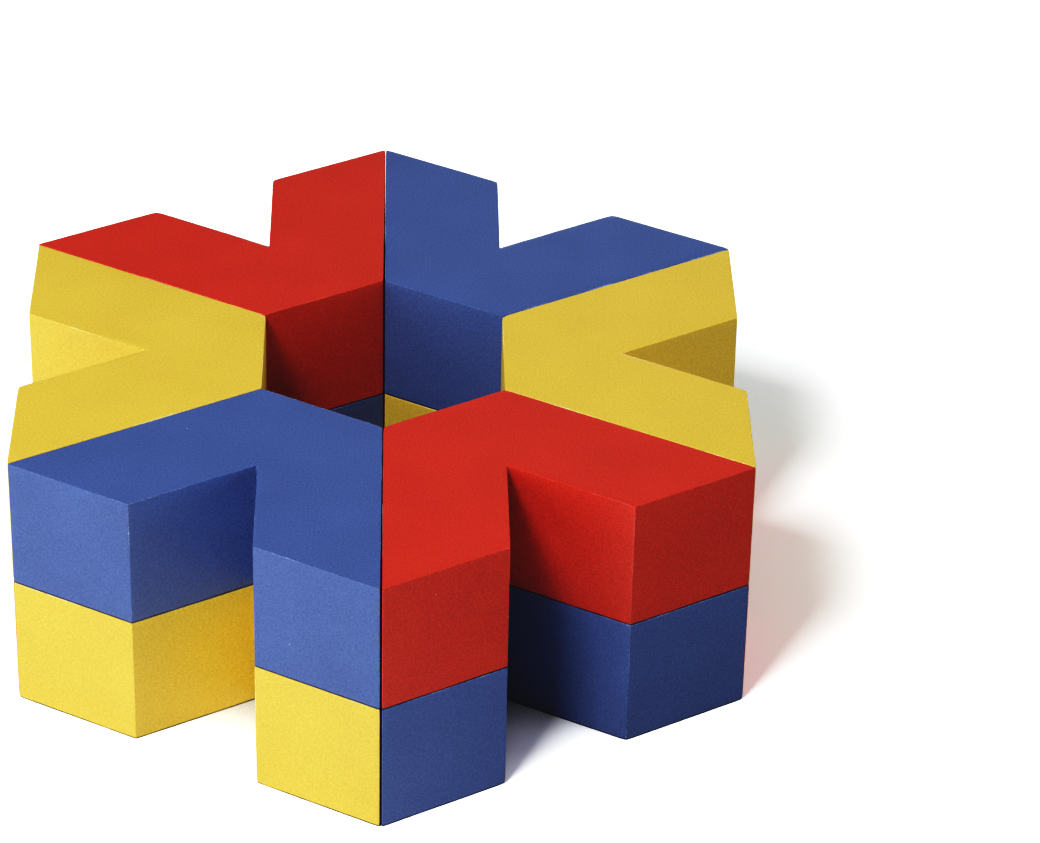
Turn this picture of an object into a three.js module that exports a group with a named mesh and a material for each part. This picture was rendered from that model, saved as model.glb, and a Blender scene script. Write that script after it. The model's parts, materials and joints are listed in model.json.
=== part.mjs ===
// Star-ring block puzzle: twelve identical V-shaped wooden blocks, six to a ring, two rings high.
//
// Millimetres, +Z up. The origin is the middle of the ring, on the table. A seam between two
// blocks points to the front, along -Y, so the star's points lie at the front, at the back and
// two on each side.
//
// Every length of a block comes from one module. Seen from above, a block is cut from a lattice
// of equal triangles: two arms 60 degrees apart, each ending in a square face. The pointed end
// of one block's arm fits the notch between the arms of another.

import * as THREE from "three";

// Driving dimensions.
const MODULE = 35; // side of the lattice triangle, and of an arm's square end face
const LAYER_HEIGHT = MODULE; // height of one block
const ARM_LENGTH = 2 * MODULE; // seam face, from the well in the middle to the star's point
const UPRIGHT_RADIUS = 0.25; // sanded upright edges
const RIM_RADIUS = 0.2; // sanded top and bottom edges, less than the upright radius
const SEAM_GAP = 0.3; // air between neighbouring blocks

const ARC_STEPS = 4; // flats to a rounded upright edge
const RIM_STEPS = 2; // flats to a rounded top or bottom edge

const SECTOR = Math.PI / 3; // a block's share of the ring
const WELL_RADIUS = MODULE; // corner of the six-sided well in the middle
const POINT_RADIUS = WELL_RADIUS + ARM_LENGTH; // the star's points

// Lacquers, in the order in which they follow each other round a ring.
const LACQUERS = [
  new THREE.MeshStandardMaterial({ name: "blue_lacquer", color: 0x4560a8 }),
  new THREE.MeshStandardMaterial({ name: "yellow_lacquer", color: 0xf2d43a }),
  new THREE.MeshStandardMaterial({ name: "red_lacquer", color: 0xd22b24 }),
];
for (const lacquer of LACQUERS) {
  lacquer.roughness = 0.5;
  lacquer.metalness = 0;
}

// A place in the ring: its name, the direction from the middle to the block's notch in degrees,
// and which lacquer the upper block there has.
const PLACES = [
  { name: "front_left", direction: 240, lacquer: 0 },
  { name: "left", direction: 180, lacquer: 1 },
  { name: "back_left", direction: 120, lacquer: 2 },
  { name: "back_right", direction: 60, lacquer: 0 },
  { name: "right", direction: 0, lacquer: 1 },
  { name: "front_right", direction: 300, lacquer: 2 },
];

// The lower ring has the same order of colours, turned by one place.
const RINGS = [
  { name: "lower", level: 0, colourShift: 1 },
  { name: "upper", level: LAYER_HEIGHT, colourShift: 0 },
];

// A point at a distance from the ring's middle, at an angle from +X.
function polar(radius, angle) {
  return new THREE.Vector2(
    radius * Math.cos(angle),
    radius * Math.sin(angle),
  );
}

// The block's corners seen from above, anticlockwise, for a block whose notch faces +X.
function blockCorners() {
  const wellRight = polar(WELL_RADIUS, -SECTOR / 2);
  const wellLeft = polar(WELL_RADIUS, SECTOR / 2);
  const pointRight = polar(POINT_RADIUS, -SECTOR / 2);
  const pointLeft = polar(POINT_RADIUS, SECTOR / 2);
  const endRight = new THREE.Vector2(pointRight.x, pointRight.y + MODULE);
  const endLeft = new THREE.Vector2(pointLeft.x, pointLeft.y - MODULE);
  const notch = new THREE.Vector2(2 * wellRight.x, 0);
  return [wellRight, pointRight, endRight, notch, endLeft, pointLeft, wellLeft];
}

// The outline with an arc at each corner that points outwards. The notch stays sharp.
function roundedOutline(corners, radius) {
  const outline = new THREE.Shape();
  corners.forEach((corner, i) => {
    const before = corners.at(i - 1);
    const after = corners[(i + 1) % corners.length];
    const arriving = corner.clone().sub(before).normalize();
    const leaving = after.clone().sub(corner).normalize();
    const turn = Math.atan2(arriving.cross(leaving), arriving.dot(leaving));
    if (turn < 0) {
      outline.lineTo(corner.x, corner.y);
      return;
    }
    const setback = radius * Math.tan(turn / 2);
    const centre = new THREE.Vector2(
      corner.x - arriving.x * setback - arriving.y * radius,
      corner.y - arriving.y * setback + arriving.x * radius,
    );
    const start = Math.atan2(-arriving.x, arriving.y);
    outline.absarc(centre.x, centre.y, radius, start, start + turn, false);
  });
  return outline;
}

// One block standing on z = 0, its notch facing +X.
function blockGeometry() {
  const geometry = new THREE.ExtrudeGeometry(
    roundedOutline(blockCorners(), UPRIGHT_RADIUS),
    {
      depth: LAYER_HEIGHT - 2 * RIM_RADIUS,
      curveSegments: ARC_STEPS / 2, // three.js draws an arc with twice as many
      bevelThickness: RIM_RADIUS,
      bevelSize: RIM_RADIUS,
      bevelOffset: -RIM_RADIUS,
      bevelSegments: RIM_STEPS,
    },
  );
  geometry.translate(0, 0, RIM_RADIUS);
  return geometry;
}

// Moving a block outwards by the gap leaves that same gap at both of its seams, because each
// seam lies half a sector, 30 degrees, from the way it moves.
function placeBlock(ring, place) {
  const angle = THREE.MathUtils.degToRad(place.direction);
  const lacquer = LACQUERS[(place.lacquer + ring.colourShift) % LACQUERS.length];
  const block = new THREE.Mesh(blockGeometry(), lacquer);
  block.name = `${ring.name}_${place.name}_block`;
  block.rotation.z = angle;
  const shift = polar(SEAM_GAP, angle);
  block.position.set(shift.x, shift.y, ring.level);
  return block;
}

const puzzle = new THREE.Group();
puzzle.name = "star_ring_puzzle";
for (const ring of RINGS) {
  for (const place of PLACES) {
    puzzle.add(placeBlock(ring, place));
  }
}

export default puzzle;
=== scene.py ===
"""Star-ring block puzzle: V-shaped blocks of lacquered wood, six to a ring, two rings high.

Each block is cut from a prism, its edges are broken with sandpaper, its faces get the slight
hollows of a hand-sanded block, and it is sprayed with one of three satin lacquers. Lengths are
in metres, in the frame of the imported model: +Z up, and a seam between two blocks at the front,
along -Y.
"""

import json
import logging
import math
from collections.abc import Iterable, Sequence
from dataclasses import dataclass, field
from enum import Enum

import bmesh
import bpy
from mathutils import Matrix, Vector, noise


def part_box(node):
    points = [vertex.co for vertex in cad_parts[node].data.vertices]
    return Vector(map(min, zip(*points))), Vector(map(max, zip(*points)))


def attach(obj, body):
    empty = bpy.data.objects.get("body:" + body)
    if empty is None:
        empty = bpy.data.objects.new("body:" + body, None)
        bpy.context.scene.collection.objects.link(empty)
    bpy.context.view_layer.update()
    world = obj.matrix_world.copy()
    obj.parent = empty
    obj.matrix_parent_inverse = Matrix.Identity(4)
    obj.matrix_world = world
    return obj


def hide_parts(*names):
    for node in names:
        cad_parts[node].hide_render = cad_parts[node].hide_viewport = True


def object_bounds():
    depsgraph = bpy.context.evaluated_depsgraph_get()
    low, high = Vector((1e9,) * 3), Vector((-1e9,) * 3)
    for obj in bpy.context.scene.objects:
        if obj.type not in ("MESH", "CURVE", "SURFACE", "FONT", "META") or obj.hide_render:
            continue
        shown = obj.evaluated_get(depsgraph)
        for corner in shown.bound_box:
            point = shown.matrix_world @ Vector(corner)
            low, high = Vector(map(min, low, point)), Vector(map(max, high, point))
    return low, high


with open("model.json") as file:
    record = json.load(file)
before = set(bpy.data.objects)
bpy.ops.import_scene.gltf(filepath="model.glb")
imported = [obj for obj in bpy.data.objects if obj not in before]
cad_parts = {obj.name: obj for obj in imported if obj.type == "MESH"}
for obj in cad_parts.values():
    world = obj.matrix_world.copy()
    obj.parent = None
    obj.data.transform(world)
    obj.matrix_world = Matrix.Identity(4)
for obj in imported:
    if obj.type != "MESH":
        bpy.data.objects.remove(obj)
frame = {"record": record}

CAD_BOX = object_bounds()
MM = 0.001
FLAT = 1e-7  # lengths under this, in metres, are rounding error
SLACK = 1e-6  # added to a limit, in metres, so that a cut made at the limit counts as inside
SHARP = 1.0  # a fold of more than this many radians is a sawn edge
SECTOR = math.pi / 3  # a block's share of the ring
EDGE_LAYER = "edge"  # 1 on a rounded edge, falling to 0 at the inner side of its margin
CORNER_LAYER = "corner"  # the same for a corner, where three sawn faces meet
# the foot value also places painted shade along the edges that blocks stand on
FOOT_LAYER = "foot"  # 1 on the edge that a block stands on, falling to 0 beside it

# what a socket can be given: a link from another socket, a number or a colour
Value = bpy.types.NodeSocket | float | Sequence[float]
Group = tuple[bpy.types.NodeTree, bpy.types.Node, bpy.types.Node]
Range = tuple[float, float]
Colour = tuple[float, float, float]

log = logging.getLogger("star_ring_puzzle")


class Lacquer(Enum):
    """The three lacquers, each with its slot in the record."""

    BLUE = "blue_lacquer"
    YELLOW = "yellow_lacquer"
    RED = "red_lacquer"


# ---------------------------------------------------------------- effects shared by the lacquers


def new_group(
    name: str, inputs: dict[str, tuple[str, float | None]], outputs: dict[str, str]
) -> Group:
    """Makes an empty shader node group with named sockets.

    Args:
        name: The group's name.
        inputs: Socket type, such as "Float", and default value or None for each input.
        outputs: Socket type for each output.

    Returns:
        The group, its input node and its output node.
    """
    group = bpy.data.node_groups.new(name, "ShaderNodeTree")
    for label, (kind, default) in inputs.items():
        socket = group.interface.new_socket(label, in_out="INPUT", socket_type=f"NodeSocket{kind}")
        if default is not None:
            socket.default_value = default
    for label, kind in outputs.items():
        group.interface.new_socket(label, in_out="OUTPUT", socket_type=f"NodeSocket{kind}")
    return group, group.nodes.new("NodeGroupInput"), group.nodes.new("NodeGroupOutput")


@dataclass
class Wiring:
    """Adds nodes to a tree with few words. A value given to a socket is a number or a link."""

    tree: bpy.types.NodeTree

    def node(
        self, kind: str, /, settings: dict[str, object] | None = None, **sockets: Value
    ) -> bpy.types.Node:
        """Adds a node.

        Args:
            kind: The node's class, without its "ShaderNode" prefix.
            settings: Attributes of the node, such as its operation.
            sockets: Input sockets by name, with _ for a space, or by index as s0, s1 and so on.

        Returns:
            The new node.
        """
        made = self.tree.nodes.new(f"ShaderNode{kind}")
        for key, value in (settings or {}).items():
            setattr(made, key, value)
        for key, value in sockets.items():
            is_index = key[0] == "s" and key[1:].isdigit()
            socket = made.inputs[int(key[1:]) if is_index else key.replace("_", " ")]
            self.feed(socket, value)
        return made

    def group(self, tree: bpy.types.NodeTree, **sockets: Value) -> bpy.types.Node:
        """Places a node group.

        Args:
            tree: The group.
            sockets: What its inputs are given, by name.

        Returns:
            The new node.
        """
        made = self.tree.nodes.new("ShaderNodeGroup")
        made.node_tree = tree
        for key, value in sockets.items():
            self.feed(made.inputs[key], value)
        return made

    def feed(self, socket: bpy.types.NodeSocket, value: Value) -> None:
        """Links another socket into this one, or sets its value."""
        if isinstance(value, bpy.types.NodeSocket):
            self.tree.links.new(value, socket)
        else:
            socket.default_value = value

    def math(self, operation: str, *values: Value) -> bpy.types.NodeSocket:
        """One Math node's result."""
        sockets = {f"s{i}": value for i, value in enumerate(values)}
        return self.node("Math", {"operation": operation}, **sockets).outputs[0]

    def noise(
        self, vector: Value, scale: float, detail: float = 2.0, roughness: float = 0.5
    ) -> bpy.types.NodeSocket:
        """A 3-D noise texture's value, which lies mostly between 0.3 and 0.7."""
        made = self.node("TexNoise", Vector=vector, Scale=scale, Detail=detail, Roughness=roughness)
        return made.outputs[0]

    def ramp(
        self, value: Value, low: float, high: float, to_low: float = 0.0, to_high: float = 1.0
    ) -> bpy.types.NodeSocket:
        """A smooth step from to_low to to_high as value goes from low to high."""
        made = self.node(
            "MapRange",
            {"interpolation_type": "SMOOTHSTEP"},
            s0=value, s1=low, s2=high, s3=to_low, s4=to_high,
        )
        return made.outputs[0]

    def mix(self, share: Value, first: Value, second: Value) -> bpy.types.NodeSocket:
        """Two colours mixed by a share."""
        made = self.node("Mix", {"data_type": "RGBA"}, s0=share, s6=first, s7=second)
        return made.outputs[2]


@dataclass
class Effects:
    """The node groups that all lacquers share, each built once.

    A pattern's scale is roughly how many of its patches fit in a metre. A range is where a value
    starts and finishes turning into a mask.
    """

    peel_scale: float = 620.0
    grit_scale: float = 1900.0
    grit_roughness: float = 0.65
    cloud_scale: float = 55.0
    cloud_share: float = 0.16
    mottle_range: Range = (0.3, 0.7)
    stretch_scale: float = 75.0
    stretch_share: float = 0.55
    nick_scale: float = 1500.0
    nick_roughness: float = 0.7
    nick_share: float = 0.35
    rubbed_range: Range = (1.22, 1.40)
    # thin lacquer at the edges, which also paints a highlight on the rims
    thin_and_highlight_range: Range = (1.42, 1.62)
    bare_range: Range = (1.64, 1.72)
    speck_scale: float = 230.0
    speck_rarity: float = 0.93
    speck_range: Range = (0.015, 0.042)
    speck_strength: float = 0.8
    # patches of painted shade along the edges that blocks stand on
    patch_scale: float = 130.0
    patch_range: Range = (0.28, 0.55)
    painted_shade_strengths: Range = (0.45, 0.95)
    foot_range: Range = (0.82, 0.97)
    hand_scale: float = 42.0
    hand_roughness: float = 0.6
    hand_range: Range = (0.35, 0.68)

    def __post_init__(self) -> None:
        """Builds the groups."""
        self.skin = self.sprayed_skin()
        self.wear = self.sanded_edge()
        self.specks = self.dust_specks()
        self.handling = self.handling_marks()
        # painted shade along the edges that blocks stand on
        self.painted_shade = self.foot_painted_shade()

    def sprayed_skin(self) -> bpy.types.NodeTree:
        """The dried skin of a sprayed lacquer: a slack orange peel with fine grit in it.

        Returns:
            A group from Vector to Height and Mottle, both from 0 to 1.
        """
        group, start, end = new_group(
            "sprayed_skin",
            {"Vector": ("Vector", None), "Grit": ("Float", 0.5)},
            {"Height": "Float", "Mottle": "Float"},
        )
        wiring = Wiring(group)
        vector = start.outputs["Vector"]
        peel = wiring.noise(vector, self.peel_scale, 2.0)
        grit = wiring.noise(vector, self.grit_scale, 3.0, self.grit_roughness)
        height = wiring.node(
            "Mix", {"data_type": "FLOAT"}, s0=start.outputs["Grit"], s2=peel, s3=grit
        ).outputs[0]
        clouds = wiring.noise(vector, self.cloud_scale, 3.0)
        fine = wiring.math("MULTIPLY", grit, 1 - self.cloud_share)
        mottle = wiring.math("MULTIPLY_ADD", clouds, self.cloud_share, fine)
        wiring.feed(end.inputs["Height"], height)
        wiring.feed(end.inputs["Mottle"], wiring.ramp(mottle, *self.mottle_range))
        return group

    def sanded_edge(self) -> bpy.types.NodeTree:
        """Where sandpaper and hands have worn the lacquer thin along an edge; its pale line also
        serves as a painted highlight on the rims.

        Returns:
            A group from Vector and Edge, the mesh's edge value, to Rubbed, where the satin has
            become glossy, a mask where the undercoat shines through and a highlight is painted on
            the rims, and Bare, where the wood shows.
        """
        group, start, end = new_group(
            "sanded_edge",
            {"Vector": ("Vector", None), "Edge": ("Float", 0.0)},
            {"Rubbed": "Float", "ThinAndHighlight": "Float", "Bare": "Float"},
        )
        wiring = Wiring(group)
        vector, edge = start.outputs["Vector"], start.outputs["Edge"]
        stretches = wiring.noise(vector, self.stretch_scale, 2.0)
        nicks = wiring.noise(vector, self.nick_scale, 2.0, self.nick_roughness)
        rough_edge = wiring.math("MULTIPLY_ADD", nicks, self.nick_share, edge)
        reach = wiring.math("MULTIPLY_ADD", stretches, self.stretch_share, rough_edge)
        wiring.feed(end.inputs["Rubbed"], wiring.ramp(reach, *self.rubbed_range))
        wiring.feed(end.inputs["ThinAndHighlight"], wiring.ramp(reach, *self.thin_and_highlight_range))
        wiring.feed(end.inputs["Bare"], wiring.ramp(reach, *self.bare_range))
        return group

    def dust_specks(self) -> bpy.types.NodeTree:
        """Dust that settled in the wet lacquer: sparse pale dots.

        Returns:
            A group from Vector to Mask.
        """
        group, start, end = new_group("dust_specks", {"Vector": ("Vector", None)}, {"Mask": "Float"})
        wiring = Wiring(group)
        cells = wiring.node(
            "TexVoronoi",
            {"feature": "F1"},
            Vector=start.outputs["Vector"], Scale=self.speck_scale, Randomness=1.0,
        )
        pick = wiring.node("SeparateColor", s0=cells.outputs["Color"])
        chosen = wiring.math("GREATER_THAN", pick.outputs[0], self.speck_rarity)
        dot = wiring.ramp(cells.outputs["Distance"], *self.speck_range, self.speck_strength, 0.0)
        wiring.feed(end.inputs["Mask"], wiring.math("MULTIPLY", chosen, dot))
        return group

    def foot_painted_shade(self) -> bpy.types.NodeTree:
        """Painted shade: a dark line, in patches, on the edge that a block stands on, where it meets
        the table or the block below.

        Returns:
            A group from Vector and Foot, the mesh's foot value, to a mask of the painted shade.
        """
        group, start, end = new_group(
            "foot_painted_shade", {"Vector": ("Vector", None), "Foot": ("Float", 0.0)}, {"PaintedShade": "Float"}
        )
        wiring = Wiring(group)
        patches = wiring.noise(start.outputs["Vector"], self.patch_scale, 3.0)
        strength = wiring.ramp(patches, *self.patch_range, *self.painted_shade_strengths)
        foot = wiring.ramp(start.outputs["Foot"], *self.foot_range)
        wiring.feed(end.inputs["PaintedShade"], wiring.math("MULTIPLY", foot, strength))
        return group

    def handling_marks(self) -> bpy.types.NodeTree:
        """Where hands have polished the satin a little.

        Returns:
            A group from Vector to Polish, from 0 to 1.
        """
        group, start, end = new_group(
            "handling_marks", {"Vector": ("Vector", None)}, {"Polish": "Float"}
        )
        wiring = Wiring(group)
        patches = wiring.noise(start.outputs["Vector"], self.hand_scale, 4.0, self.hand_roughness)
        wiring.feed(end.inputs["Polish"], wiring.ramp(patches, *self.hand_range))
        return group


@dataclass(frozen=True)
class LacquerFinish:
    """A satin lacquer over a pale undercoat. Colours are linear red, green and blue."""

    lacquer: Lacquer
    colour: Colour
    deep_colour: Colour
    # the pale colour of thin lacquer at the edges, which is also a painted highlight on the rims
    thin_and_highlight_colour: Colour
    wood_colour: Colour = (0.50, 0.34, 0.19)
    speck_colour: Colour = (0.75, 0.76, 0.78)
    # the dark colour of the painted shade along the edges that a block stands on
    painted_shade_colour: Colour = (0.014, 0.012, 0.012)
    roughness: float = 0.46
    polish: float = 0.07
    edge_gloss: float = 0.20
    wood_dullness: float = 0.3
    speck_relief: float = 0.6
    grit: float = 0.55
    skin_depth: float = 0.016 * MM

    def material(self, effects: Effects) -> bpy.types.Material:
        """Builds the material.

        Args:
            effects: The shared node groups.

        Returns:
            The material, named after its slot.
        """
        made = bpy.data.materials.new(self.lacquer.value)
        made.use_nodes = True
        made.node_tree.nodes.clear()
        wiring = Wiring(made.node_tree)
        place = wiring.node("TexCoord").outputs["Object"]
        edge = wiring.node("Attribute", {"attribute_name": EDGE_LAYER}).outputs["Fac"]
        foot = wiring.node("Attribute", {"attribute_name": FOOT_LAYER}).outputs["Fac"]

        skin = wiring.group(effects.skin, Vector=place, Grit=self.grit)
        wear = wiring.group(effects.wear, Vector=place, Edge=edge)
        specks = wiring.group(effects.specks, Vector=place)
        handling = wiring.group(effects.handling, Vector=place)
        # painted shade along the edges that a block stands on
        painted_shade = wiring.group(effects.painted_shade, Vector=place, Foot=foot)

        body = wiring.mix(skin.outputs["Mottle"], (*self.deep_colour, 1), (*self.colour, 1))
        # pale thin lacquer at the edges, which is also a painted highlight on the rims
        thinned_and_highlit = wiring.mix(wear.outputs["ThinAndHighlight"], body, (*self.thin_and_highlight_colour, 1))
        bared = wiring.mix(wear.outputs["Bare"], thinned_and_highlit, (*self.wood_colour, 1))
        specked = wiring.mix(specks.outputs["Mask"], bared, (*self.speck_colour, 1))
        # darkens towards the painted shade colour along the foot edges
        colour = wiring.mix(painted_shade.outputs["PaintedShade"], specked, (*self.painted_shade_colour, 1))

        satin = wiring.math("MULTIPLY_ADD", handling.outputs["Polish"], -self.polish, self.roughness)
        rubbed = wiring.math("MULTIPLY_ADD", wear.outputs["Rubbed"], -self.edge_gloss, satin)
        roughness = wiring.math("MULTIPLY_ADD", wear.outputs["Bare"], self.wood_dullness, rubbed)
        relief = wiring.math(
            "MULTIPLY_ADD", specks.outputs["Mask"], self.speck_relief, skin.outputs["Height"]
        )
        bump = wiring.node("Bump", Strength=1.0, Distance=self.skin_depth, Height=relief)
        shader = wiring.node(
            "BsdfPrincipled", Base_Color=colour, Roughness=roughness, Normal=bump.outputs[0]
        )
        wiring.node("OutputMaterial", Surface=shader.outputs[0])
        return made


# The pale edge colour of each finish is thin lacquer and also a painted highlight on the rims.
FINISHES = (
    LacquerFinish(
        lacquer=Lacquer.BLUE,
        colour=(0.111, 0.169, 0.394),
        deep_colour=(0.077, 0.117, 0.274),
        thin_and_highlight_colour=(0.270, 0.345, 0.570),
    ),
    LacquerFinish(
        lacquer=Lacquer.YELLOW,
        colour=(0.775, 0.582, 0.112),
        deep_colour=(0.625, 0.458, 0.084),
        thin_and_highlight_colour=(0.86, 0.78, 0.42),
    ),
    LacquerFinish(
        lacquer=Lacquer.RED,
        colour=(0.660, 0.065, 0.039),
        deep_colour=(0.478, 0.044, 0.026),
        thin_and_highlight_colour=(0.74, 0.150, 0.095),
    ),
)


# ---------------------------------------------------------------- blocks


@dataclass(frozen=True)
class BlockShape:
    """The sizes of a block, and how it is cut and sanded.

    The outline lies on a lattice of equal triangles of side module: two arms, 60 degrees apart,
    each ending in a square face. The notch between the arms faces +X, and the middle of the ring
    is the origin.
    """

    module: float
    height: float
    upright_round: float = 0.25 * MM
    rim_round: float = 0.2 * MM
    notch_fillet: float = 0.2 * MM
    tight_margin: float = 0.12 * MM
    margin: float = 1.3 * MM
    grid: float = 2.5 * MM
    upright_steps: int = 6
    rim_steps: int = 4

    @property
    def corners(self) -> list[Vector]:
        """The outline's corners, anticlockwise from the well.

        Returns:
            Seven corners on the floor, with the notch's fourth.
        """
        ray = Vector((math.cos(SECTOR / 2), -math.sin(SECTOR / 2), 0)) * self.module
        side = Vector((0, self.module, 0))
        right = [ray, 3 * ray, 3 * ray + side]
        left = [Vector((p.x, -p.y, 0)) for p in reversed(right)]
        return [*right, Vector((2 * ray.x, 0, 0)), *left]

    def prism(self) -> bmesh.types.BMesh:
        """Saws the block: the outline raised to its height.

        Returns:
            The block with sharp edges.
        """
        bm = bmesh.new()
        floor = bm.faces.new([bm.verts.new(p) for p in self.corners])
        raised = bmesh.ops.extrude_face_region(bm, geom=[floor])["geom"]
        tops = [v for v in raised if isinstance(v, bmesh.types.BMVert)]
        bmesh.ops.translate(bm, verts=tops, vec=(0, 0, self.height))
        bmesh.ops.recalc_face_normals(bm, faces=bm.faces[:])
        return bm

    def break_edges(self, bm: bmesh.types.BMesh) -> None:
        """Rounds the upright edges and then the rims, and marks the rounded faces.

        Args:
            bm: The sawn block.
        """
        rounded = bm.faces.layers.int.new("rounded")
        uprights = [e for e in bm.edges if abs((e.verts[0].co - e.verts[1].co).z) > self.height / 2]
        turns: dict[int, list[bmesh.types.BMEdge]] = {}
        for edge in uprights:
            turns.setdefault(round(math.degrees(edge.calc_face_angle_signed())), []).append(edge)
        for turn, edges in turns.items():
            radius = self.upright_round if turn > 0 else self.notch_fillet
            setback = radius * math.tan(math.radians(abs(turn)) / 2)
            self.bevel(bm, edges, setback, self.upright_steps, rounded)
        rims = [
            e for e in bm.edges
            if abs(e.verts[0].co.z - e.verts[1].co.z) < FLAT and e.calc_face_angle() > SHARP
        ]
        self.bevel(bm, rims, self.rim_round, self.rim_steps, rounded)

    @staticmethod
    def bevel(
        bm: bmesh.types.BMesh,
        edges: list[bmesh.types.BMEdge],
        offset: float,
        steps: int,
        mark: bmesh.types.BMLayerItem,
    ) -> None:
        """Bevels edges to an arc, and marks the new faces with 1.

        Args:
            bm: The block.
            edges: The edges to round.
            offset: How far the arc starts from the edge.
            steps: How many flats the arc has.
            mark: The face layer for the mark.
        """
        made = bmesh.ops.bevel(
            bm, geom=edges, offset=offset, offset_type="OFFSET", segments=steps, profile=0.5,
            affect="EDGES", clamp_overlap=False, material=-1,
        )
        for face in made["faces"]:
            face[mark] = 1

    @staticmethod
    def cut(
        bm: bmesh.types.BMesh, faces: Iterable[bmesh.types.BMFace], point: Vector, normal: Vector
    ) -> None:
        """Cuts faces along a plane, without removing anything."""
        geom = {item for f in faces for item in (f, *f.edges, *f.verts)}
        bmesh.ops.bisect_plane(bm, geom=list(geom), plane_co=point, plane_no=normal, dist=FLAT)

    def cut_margins(self, bm: bmesh.types.BMesh) -> None:
        """Cuts a tight and a wide margin beside every edge, and sets the mesh's three values.

        Args:
            bm: The block with its edges broken.
        """
        corners = self.corners
        for inset in (self.rim_round + self.tight_margin, self.rim_round + self.margin):
            for i, corner in enumerate(corners):
                along = (corner - corners[i - 1]).normalized()
                inward = Vector((-along.y, along.x, 0))
                self.cut(bm, bm.faces, corner + inward * inset, inward)
            for z in (inset, self.height - inset):
                self.cut(bm, bm.faces, Vector((0, 0, z)), Vector((0, 0, 1)))
        edge = bm.verts.layers.float.new(EDGE_LAYER)
        corner = bm.verts.layers.float.new(CORNER_LAYER)
        foot = bm.verts.layers.float.new(FOOT_LAYER)
        tight = self.rim_round + self.tight_margin + SLACK
        for v in bm.verts:
            sides = self.side_distances(v.co, corners)
            _, second, third, *_ = sorted((v.co.z, self.height - v.co.z, *sides))
            v[foot] = float(max(v.co.z, second) < tight)
            v[edge] = self.nearness(second)
            v[corner] = self.nearness(third)

    def nearness(self, distance: float) -> float:
        """1 within the rim's radius of a sawn edge, falling to 0 at the margin's inner side."""
        return min(1.0, max(0.0, 1 - (distance - self.rim_round) / self.margin))

    @staticmethod
    def side_distances(point: Vector, corners: list[Vector]) -> list[float]:
        """A point's distance in plan from each side of an outline.

        Args:
            point: The point, whose height doesn't matter.
            corners: The outline's corners.

        Returns:
            One distance for each side.
        """
        distances = []
        for i, end in enumerate(corners):
            start = corners[i - 1]
            side = end - start
            flat = Vector((point.x, point.y, 0))
            share = min(1.0, max(0.0, (flat - start).dot(side) / side.length_squared))
            distances.append((flat - start - side * share).length)
        return distances

    def cut_grid(self, bm: bmesh.types.BMesh) -> None:
        """Cuts the faces into small squares that follow the arms, so that they can be sanded.

        Args:
            bm: The block with its margins cut.
        """
        up = Vector((0, 0, 1))
        self.cut(bm, bm.faces, Vector(), Vector((0, 1, 0)))
        for hand in (-1, 1):
            along = Vector((math.cos(SECTOR / 2), hand * math.sin(SECTOR / 2), 0))
            across = up.cross(along) * -hand
            for direction, start, end in (
                (along, self.module / 2, 3 * self.module),
                (across, 0.0, self.module * math.cos(SECTOR / 2)),
            ):
                steps = round((end - start) / self.grid)
                for step in range(1, steps):
                    reach = start + (end - start) * step / steps
                    arm = [f for f in bm.faces if f.calc_center_median().y * hand > 0]
                    self.cut(bm, arm, direction * reach, direction)
        steps = round(self.height / self.grid)
        for step in range(1, steps):
            self.cut(bm, bm.faces, up * (self.height * step / steps), up)

    def blank(self) -> bmesh.types.BMesh:
        """Makes the block that all blocks start from.

        Returns:
            A block with its edges broken and its faces cut up, ready for sanding.
        """
        bm = self.prism()
        self.break_edges(bm)
        self.cut_margins(bm)
        self.cut_grid(bm)
        bm.normal_update()
        return bm


@dataclass(frozen=True)
class Sanding:
    """How far hand sanding takes the surface in. It only ever removes wood.

    The edge shift moves the edges' pattern of wear away from the pattern of hollows.
    """

    hollow: float = 0.05 * MM
    hollow_span: float = 17 * MM
    edge_loss: float = 0.07 * MM
    edge_span: float = 6 * MM
    corner_loss: float = 0.22 * MM
    edge_shift: tuple[int, int, int] = (7, 3, 5)

    def depth(self, place: Vector, edge: float, corner: float) -> float:
        """How much wood is gone at a place.

        Args:
            place: The place, in the ring's frame.
            edge: The mesh's edge value there.
            corner: The mesh's corner value there.

        Returns:
            The depth, in metres.
        """
        hollow = 0.5 + 0.5 * noise.noise(place / self.hollow_span)
        worn = 0.5 + 0.5 * noise.noise(place / self.edge_span + Vector(self.edge_shift))
        broken = self.edge_loss * edge * edge + self.corner_loss * corner * corner
        return self.hollow * hollow + worn * broken


@dataclass(frozen=True)
class HandSetting:
    """How a hand has set a block down: slid a little off the lattice, and turned a hair.

    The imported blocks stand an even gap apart. Real ones are pushed together, so that some seams
    close and others open in a slim wedge. No two blocks overlap, and the whole stays inside the
    packed box. Slides are in millimetres, outward and anticlockwise, and the turn is in degrees,
    anticlockwise.
    """

    outward: float
    onward: float
    turn: float

    @property
    def slide(self) -> Matrix:
        """The setting's slide, for a block whose notch faces +X."""
        return Matrix.Translation((self.outward * MM, self.onward * MM, 0))

    @property
    def twist(self) -> Matrix:
        """The setting's turn about the middle of the ring."""
        return Matrix.Rotation(math.radians(self.turn), 4, "Z")


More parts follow.
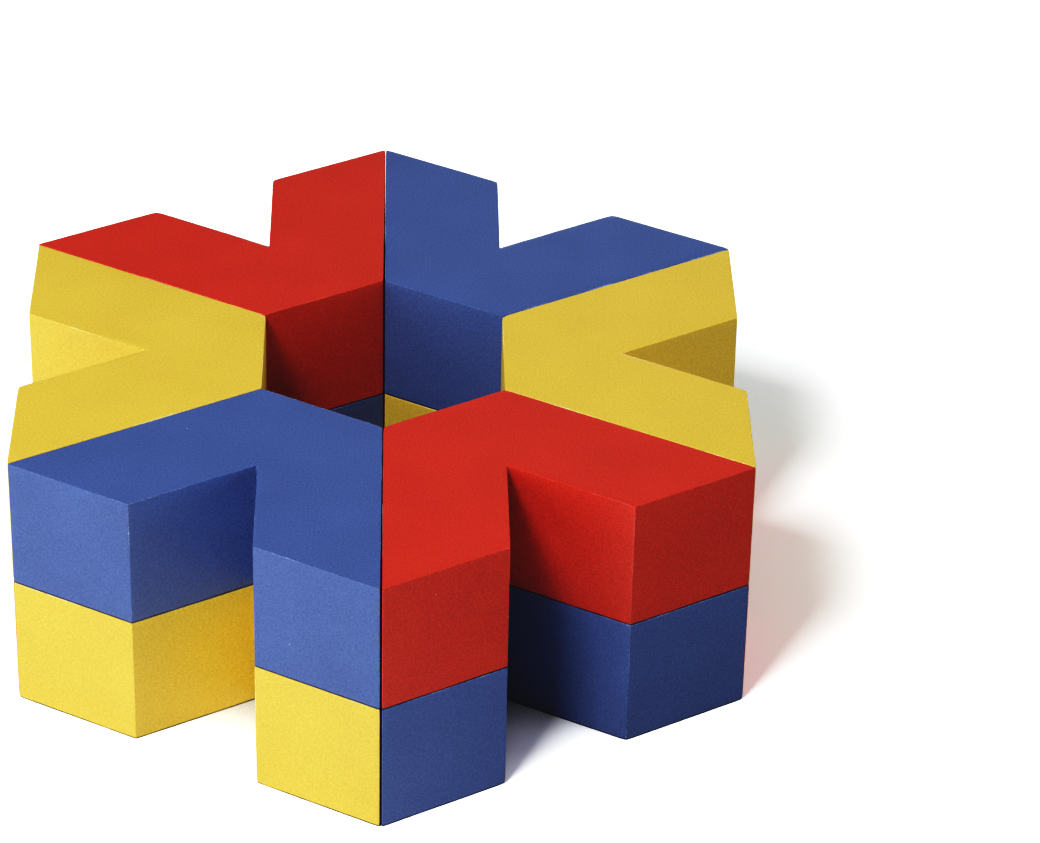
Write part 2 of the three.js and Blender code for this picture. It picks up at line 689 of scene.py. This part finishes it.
HAND_SETTINGS = {
    "upper_front_left_block": HandSetting(0.10, 0.065, -0.094),
    "upper_left_block": HandSetting(-0.05, 0.089, -0.120),
    "upper_back_left_block": HandSetting(0.24, 0.196, -0.147),
    "upper_back_right_block": HandSetting(0.16, -0.070, 0.065),
    "upper_right_block": HandSetting(-0.03, -0.053, 0.080),
    "upper_front_right_block": HandSetting(0.10, -0.065, 0.094),
    "lower_front_left_block": HandSetting(0.12, 0.050, -0.085),
    "lower_left_block": HandSetting(-0.05, 0.085, -0.105),
    "lower_back_left_block": HandSetting(0.23, 0.165, -0.125),
    "lower_back_right_block": HandSetting(0.17, -0.085, 0.070),
    "lower_right_block": HandSetting(-0.04, -0.060, 0.080),
    "lower_front_right_block": HandSetting(0.12, -0.050, 0.090),
}


@dataclass
class Block:
    """One block in its place in the ring."""

    node: str
    body: str
    lacquer: Lacquer
    shape: BlockShape
    sanding: Sanding = field(default_factory=Sanding)

    @property
    def placement(self) -> Matrix:
        """Where the block stands.

        Returns:
            The way from the blank to the block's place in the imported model, as a hand has set it.
        """
        low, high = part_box(self.node)
        middle = (low + high) / 2
        sixth = round(math.atan2(middle.y, middle.x) / SECTOR)
        turn = Matrix.Rotation(sixth * SECTOR, 4, "Z")
        setting = HAND_SETTINGS[self.node]
        return Matrix.Translation((0, 0, low.z)) @ setting.twist @ turn @ setting.slide

    def build(self, blank: bmesh.types.BMesh, material: bpy.types.Material) -> bpy.types.Object:
        """Sands, places and dresses the block.

        Args:
            blank: The block that all blocks start from.
            material: Its lacquer.

        Returns:
            The finished piece, which rides on its body.
        """
        bm = blank.copy()
        bmesh.ops.transform(bm, matrix=self.placement, verts=bm.verts[:])
        bm.normal_update()
        edge = bm.verts.layers.float[EDGE_LAYER]
        corner = bm.verts.layers.float[CORNER_LAYER]
        losses = [v.normal * self.sanding.depth(v.co, v[edge], v[corner]) for v in bm.verts]
        for v, loss in zip(bm.verts, losses):
            v.co -= loss
        for face in bm.faces:
            face.smooth = True
        mesh = bpy.data.meshes.new(f"{self.node}_lacquered")
        bm.to_mesh(mesh)
        bm.free()
        mesh.materials.append(material)
        piece = bpy.data.objects.new(mesh.name, mesh)
        bpy.context.scene.collection.objects.link(piece)
        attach(piece, self.body)
        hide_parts(self.node)
        return piece


@dataclass
class Ring:
    """The whole puzzle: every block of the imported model."""

    effects: Effects = field(default_factory=Effects)

    def shape(self) -> BlockShape:
        """Reads the block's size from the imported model, whose rings are one module high.

        Returns:
            The block's shape.
        """
        low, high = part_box("upper_right_block")
        height = high.z - low.z
        return BlockShape(module=height, height=height)

    def blocks(self) -> list[Block]:
        """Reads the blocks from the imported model.

        Returns:
            Every block, with its body and lacquer.
        """
        shape = self.shape()
        record = frame["record"]
        slots = {row["node"]: row["material_slot"] for row in record["subparts"]}
        bodies = record["behaviour"]["bodies"]
        return [
            Block(node=node, body=body, lacquer=Lacquer(slots[node]), shape=shape)
            for body, nodes in bodies.items()
            for node in nodes
        ]

    def build(self) -> None:
        """Builds every block, and reports each."""
        materials = {f.lacquer: f.material(self.effects) for f in FINISHES}
        blank = self.shape().blank()
        log.info("blank: %d faces", len(blank.faces))
        for block in self.blocks():
            piece = block.build(blank, materials[block.lacquer])
            log.info("%s: %s, %d faces", piece.name, block.lacquer.value, len(piece.data.polygons))
        blank.free()


# ---------------------------------------------------------------- studio


ALL_COLOURS = 3  # the tone curve that acts on red, green and blue together


def direction(azimuth: float, elevation: float) -> Vector:
    """The way from the middle of the ring at an azimuth from +X and an elevation, in degrees."""
    a, e = math.radians(azimuth), math.radians(elevation)
    return Vector((math.cos(a) * math.cos(e), math.sin(a) * math.cos(e), math.sin(e)))


@dataclass(frozen=True)
class Softbox:
    """A square studio light that faces the puzzle."""

    name: str
    azimuth: float
    elevation: float
    distance: float
    size: float
    power: float
    colour: Colour = (1.0, 1.0, 1.0)

    def build(self, aim: Vector) -> bpy.types.Object:
        """Hangs the light.

        Args:
            aim: The point that it faces.

        Returns:
            The light.
        """
        data = bpy.data.lights.new(self.name, "AREA")
        data.shape = "SQUARE"
        data.size = self.size
        data.energy = self.power
        data.color = self.colour
        light = bpy.data.objects.new(self.name, data)
        away = direction(self.azimuth, self.elevation)
        light.location = aim + away * self.distance
        light.rotation_euler = away.to_track_quat("Z", "Y").to_euler()
        bpy.context.scene.collection.objects.link(light)
        return light


@dataclass(frozen=True)
class StudioCamera:
    """A long lens that looks down at the puzzle from the front. Angles are in degrees."""

    azimuth: float = -1.93
    elevation: float = 32.66
    roll: float = 1.34
    lens: float = 150.0
    sensor: float = 36.0
    distance: float = 1.1151
    right: float = 0.0349
    above: float = 0.0126

    def build(self, aim: Vector) -> bpy.types.Object:
        """Sets up the camera.

        Args:
            aim: The point that the angles are measured at. The camera is then moved to the right
                and up in its own plane.

        Returns:
            The camera, which is made the scene's own.
        """
        back = direction(self.azimuth - 90, self.elevation)
        right = Vector((0, 0, 1)).cross(back).normalized()
        up = back.cross(right)
        place = aim + back * self.distance + right * self.right + up * self.above
        upright = Matrix((right, up, back)).transposed().to_4x4()
        data = bpy.data.cameras.new("camera")
        data.lens = self.lens
        data.sensor_width = self.sensor
        data.sensor_fit = "HORIZONTAL"
        camera = bpy.data.objects.new("camera", data)
        turn = Matrix.Rotation(math.radians(self.roll), 4, "Z")
        camera.matrix_world = Matrix.Translation(place) @ upright @ turn
        bpy.context.scene.collection.objects.link(camera)
        bpy.context.scene.camera = camera
        return camera


@dataclass(frozen=True)
class Studio:
    """The pale table, the lights and the camera."""

    table_size: float = 8.0
    table_squares: int = 8
    table_colour: Colour = (1.73, 1.78, 1.77)
    # painted shade for the paper in closed nooks beside the blocks
    nook_painted_shade: Colour = (0.22, 0.205, 0.20)
    nook_reach: float = 0.07
    nook_samples: int = 24
    nook_range: Range = (0.10, 0.38)
    bright_bounce: Colour = (0.90, 0.90, 0.90)
    dim_bounce: Colour = (0.30, 0.29, 0.28)
    bright_side: float = 205.0
    bounce_range: Range = (-0.05, 0.08)
    fill_colour: Colour = (1.0, 1.0, 1.0)
    fill_strength: float = 0.14
    lights: tuple[Softbox, ...] = (
        Softbox("key", azimuth=239, elevation=53.5, distance=1.2, size=0.3, power=9.4),
        Softbox("left_sheet", azimuth=195, elevation=21, distance=1.5, size=1.4, power=12.0),
        Softbox("right_fill", azimuth=335, elevation=15, distance=1.5, size=0.8, power=2.9),
        Softbox("back_sheet", azimuth=24, elevation=15, distance=1.5, size=1.0, power=7.2),
        Softbox("rim_light", azimuth=84, elevation=6, distance=1.5, size=0.25, power=1.1),
    )
    contrast: tuple[Range, ...] = (
        (0.05, 0.016), (0.13, 0.073), (0.26, 0.233), (0.45, 0.50), (0.69, 0.79),
    )
    paper_black: float = 0.0035
    camera: StudioCamera = field(default_factory=StudioCamera)

    def paper(self) -> bpy.types.Material:
        """Mixes the table's pale paper.

        The camera sees it brighter than the blocks do. Closed nooks beside the blocks get painted
        shade, and the paper throws more light on the blocks from its bright side.

        Returns:
            The paper.
        """
        material = bpy.data.materials.new("table_paper")
        material.use_nodes = True
        material.node_tree.nodes.clear()
        wiring = Wiring(material.node_tree)
        place = wiring.node("TexCoord").outputs["Object"]
        toward = direction(self.bright_side, 0)
        along = wiring.node("VectorMath", {"operation": "DOT_PRODUCT"}, s0=place, s1=toward)
        side = wiring.ramp(along.outputs["Value"], *self.bounce_range)
        bounce = wiring.mix(side, (*self.dim_bounce, 1), (*self.bright_bounce, 1))
        # painted shade: the paper the camera sees turns dark where little of the sky is open
        air = wiring.node(
            "AmbientOcclusion", {"samples": self.nook_samples}, Distance=self.nook_reach
        )
        openness = wiring.ramp(air.outputs["AO"], *self.nook_range)
        plain = wiring.mix(openness, (*self.nook_painted_shade, 1), (*self.table_colour, 1))
        seen = wiring.node("LightPath").outputs["Is Camera Ray"]
        colour = wiring.mix(seen, bounce, plain)
        shader = wiring.node("BsdfDiffuse", Color=colour)
        wiring.node("OutputMaterial", Surface=shader.outputs[0])
        return material

    def table(self) -> bpy.types.Object:
        """Lays the table top, which isn't part of the puzzle.

        Returns:
            The table.
        """
        bm = bmesh.new()
        squares = self.table_squares
        bmesh.ops.create_grid(bm, x_segments=squares, y_segments=squares, size=self.table_size / 2)
        mesh = bpy.data.meshes.new("table")
        bm.to_mesh(mesh)
        bm.free()
        mesh.materials.append(self.paper())
        table = bpy.data.objects.new("table", mesh)
        bpy.context.scene.collection.objects.link(table)
        return table

    def surroundings(self) -> None:
        """A faint even light from all round."""
        world = bpy.data.worlds.new("studio")
        world.use_nodes = True
        background = world.node_tree.nodes["Background"]
        background.inputs["Color"].default_value = (*self.fill_colour, 1)
        background.inputs["Strength"].default_value = self.fill_strength
        bpy.context.scene.world = world

    def develop(self) -> None:
        """Sets how the picture is developed, by contrast's pairs of values before and after."""
        view = bpy.context.scene.view_settings
        view.view_transform = "Standard"
        view.use_curve_mapping = True
        curve = view.curve_mapping.curves[ALL_COLOURS]
        curve.points[0].location = (0.0, self.paper_black)
        for before, after in self.contrast:
            curve.points.new(before, after)
        view.curve_mapping.update()

    def build(self, puzzle_height: float) -> None:
        """Builds the studio round the puzzle.

        Args:
            puzzle_height: The height of the puzzle. The camera's angles are measured at half of it.
        """
        aim = Vector((0, 0, puzzle_height / 2))
        self.table()
        self.surroundings()
        for softbox in self.lights:
            light = softbox.build(aim)
            log.info("%s: %.0f W", light.name, light.data.energy)
        self.camera.build(aim)
        self.develop()


def main() -> None:
    """Builds the puzzle and its studio."""
    logging.basicConfig(level=logging.INFO, format="%(message)s")
    Ring().build()
    Studio().build(CAD_BOX[1].z)


if __name__ == "__main__":
    main()
